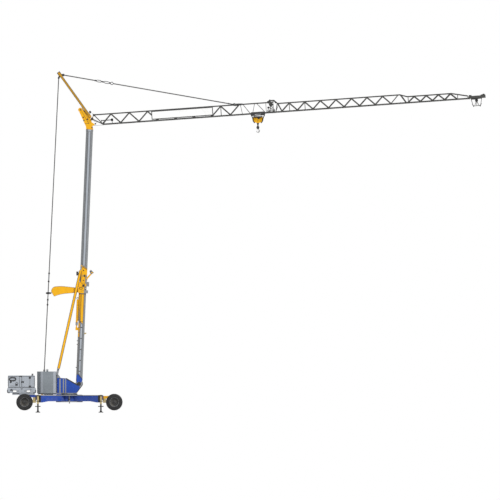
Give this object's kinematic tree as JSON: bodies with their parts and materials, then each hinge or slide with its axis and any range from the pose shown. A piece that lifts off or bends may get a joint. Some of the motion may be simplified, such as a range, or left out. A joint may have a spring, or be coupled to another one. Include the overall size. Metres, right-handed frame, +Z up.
{
  "type": "tower crane",
  "caption": "Self-erecting tower crane on a wheeled chassis with jacks, slewing platform, counterweight, leaning mast, stayed lattice jib, trolley and hook block.",
  "frame": {"origin": "on the slewing axis at ground level, in the middle of the four jack feet", "axes": "+X along the jib from the mast to the tip, +Y to the left of it, +Z up"},
  "size_m": [30.0426, 4.2638, 21.4153],
  "materials": {
    "chassis_blue": "satin",
    "steel_grey": "satin",
    "dark_steel": "satin",
    "jack_beige": "satin",
    "crane_yellow": "satin",
    "strut_ochre": "satin",
    "tyre_black": "matte",
    "rim_grey": "satin",
    "generator_grey": "satin",
    "mast_grey": "satin",
    "jib_grey": "satin",
    "concrete": "matte",
    "rope_steel": "satin",
    "board_white": "matte",
    "hook_steel": "satin"
  },
  "bodies": {
    "chassis": {"chassis_frame": "chassis_blue", "slewing_base": "steel_grey", "outrigger_arms": "chassis_blue", "jack_brackets": "dark_steel", "jack_tubes": "jack_beige", "carrier_rear": "chassis_blue", "carrier_front": "crane_yellow", "suspension_rear": "jack_beige", "suspension_front": "jack_beige", "generator_base": "generator_grey", "generator_housing": "generator_grey", "generator_doors": "generator_grey"},
    "upperworks": {"platform_deck": "steel_grey", "platform_cheeks": "chassis_blue", "mast_fork": "steel_grey", "counterweight": "concrete", "mast_lower": "mast_grey", "mast_foot": "chassis_blue", "mast_upper": "mast_grey", "mast_collar": "crane_yellow", "guide_skirt": "crane_yellow", "climbing_cylinder": "crane_yellow", "guide_arm": "crane_yellow", "rope_guide": "dark_steel", "backstay": "rope_steel", "jib_stay": "rope_steel", "erecting_struts": "crane_yellow", "strut_clevises": "steel_grey", "jib_rest": "steel_grey", "cheek_ribs": "steel_grey", "hoist_line": "rope_steel", "mast_head": "crane_yellow", "apex_strut": "strut_ochre", "apex_head": "dark_steel", "jib_root_section": "jib_grey", "jib_middle_section": "jib_grey", "jib_outer_section": "jib_grey", "jib_joints": "jib_grey", "sign_board": "board_white", "jib_tip": "jib_grey", "trolley_winch": "dark_steel"},
    "trolley": {"trolley_frame": "dark_steel", "trolley_wheels": "dark_steel", "trolley_sheaves": "dark_steel", "hoist_falls": "rope_steel"},
    "hook_block": {"block_cheeks": "crane_yellow", "block_sheaves": "dark_steel"},
    "hook": {"hook": "hook_steel"},
    "wheel_rear_right": {"tyre_rear_right": "tyre_black", "rim_rear_right": "rim_grey"},
    "jack_rear_right": {"jack_leg_rear_right": "dark_steel"},
    "wheel_rear_left": {"tyre_rear_left": "tyre_black", "rim_rear_left": "rim_grey"},
    "jack_rear_left": {"jack_leg_rear_left": "dark_steel"},
    "wheel_front_right": {"tyre_front_right": "tyre_black", "rim_front_right": "rim_grey"},
    "jack_front_right": {"jack_leg_front_right": "dark_steel"},
    "wheel_front_left": {"tyre_front_left": "tyre_black", "rim_front_left": "rim_grey"},
    "jack_front_left": {"jack_leg_front_left": "dark_steel"}
  },
  "joints": [
    {"name": "slewing", "type": "hinge", "parent": "chassis", "child": "upperworks", "pos_m": [0, 0, 1.16], "axis": [0, 0, 1], "continuous": true},
    {"name": "trolley_travel", "type": "slide", "parent": "upperworks", "child": "trolley", "axis": [0.9975, 0, 0.0706], "range_m": [-8.6, 12.5]},
    {"name": "hoist", "type": "slide", "parent": "trolley", "child": "hook_block", "axis": [0, 0, -1], "range_m": [0, 15], "deforming": ["hoist_falls"]},
    {"name": "hook_swivel", "type": "hinge", "parent": "hook_block", "child": "hook", "pos_m": [11.838, 0, 18.023], "axis": [0, 0, 1], "continuous": true},
    {"name": "wheel_rear_right_spin", "type": "hinge", "parent": "chassis", "child": "wheel_rear_right", "pos_m": [-2.818, -0.95, 0.659], "axis": [0, 1, 0], "continuous": true},
    {"name": "jack_rear_right_lift", "type": "slide", "parent": "chassis", "child": "jack_rear_right", "axis": [0, 0, 1], "range_m": [-0.2, 0.11]},
    {"name": "wheel_rear_left_spin", "type": "hinge", "parent": "chassis", "child": "wheel_rear_left", "pos_m": [-2.818, 0.95, 0.659], "axis": [0, 1, 0], "continuous": true},
    {"name": "jack_rear_left_lift", "type": "slide", "parent": "chassis", "child": "jack_rear_left", "axis": [0, 0, 1], "range_m": [-0.2, 0.11]},
    {"name": "wheel_front_right_spin", "type": "hinge", "parent": "chassis", "child": "wheel_front_right", "pos_m": [2.818, -0.95, 0.659], "axis": [0, 1, 0], "continuous": true},
    {"name": "jack_front_right_lift", "type": "slide", "parent": "chassis", "child": "jack_front_right", "axis": [0, 0, 1], "range_m": [-0.2, 0.11]},
    {"name": "wheel_front_left_spin", "type": "hinge", "parent": "chassis", "child": "wheel_front_left", "pos_m": [2.818, 0.95, 0.659], "axis": [0, 1, 0], "continuous": true},
    {"name": "jack_front_left_lift", "type": "slide", "parent": "chassis", "child": "jack_front_left", "axis": [0, 0, 1], "range_m": [-0.2, 0.11]}
  ]
}
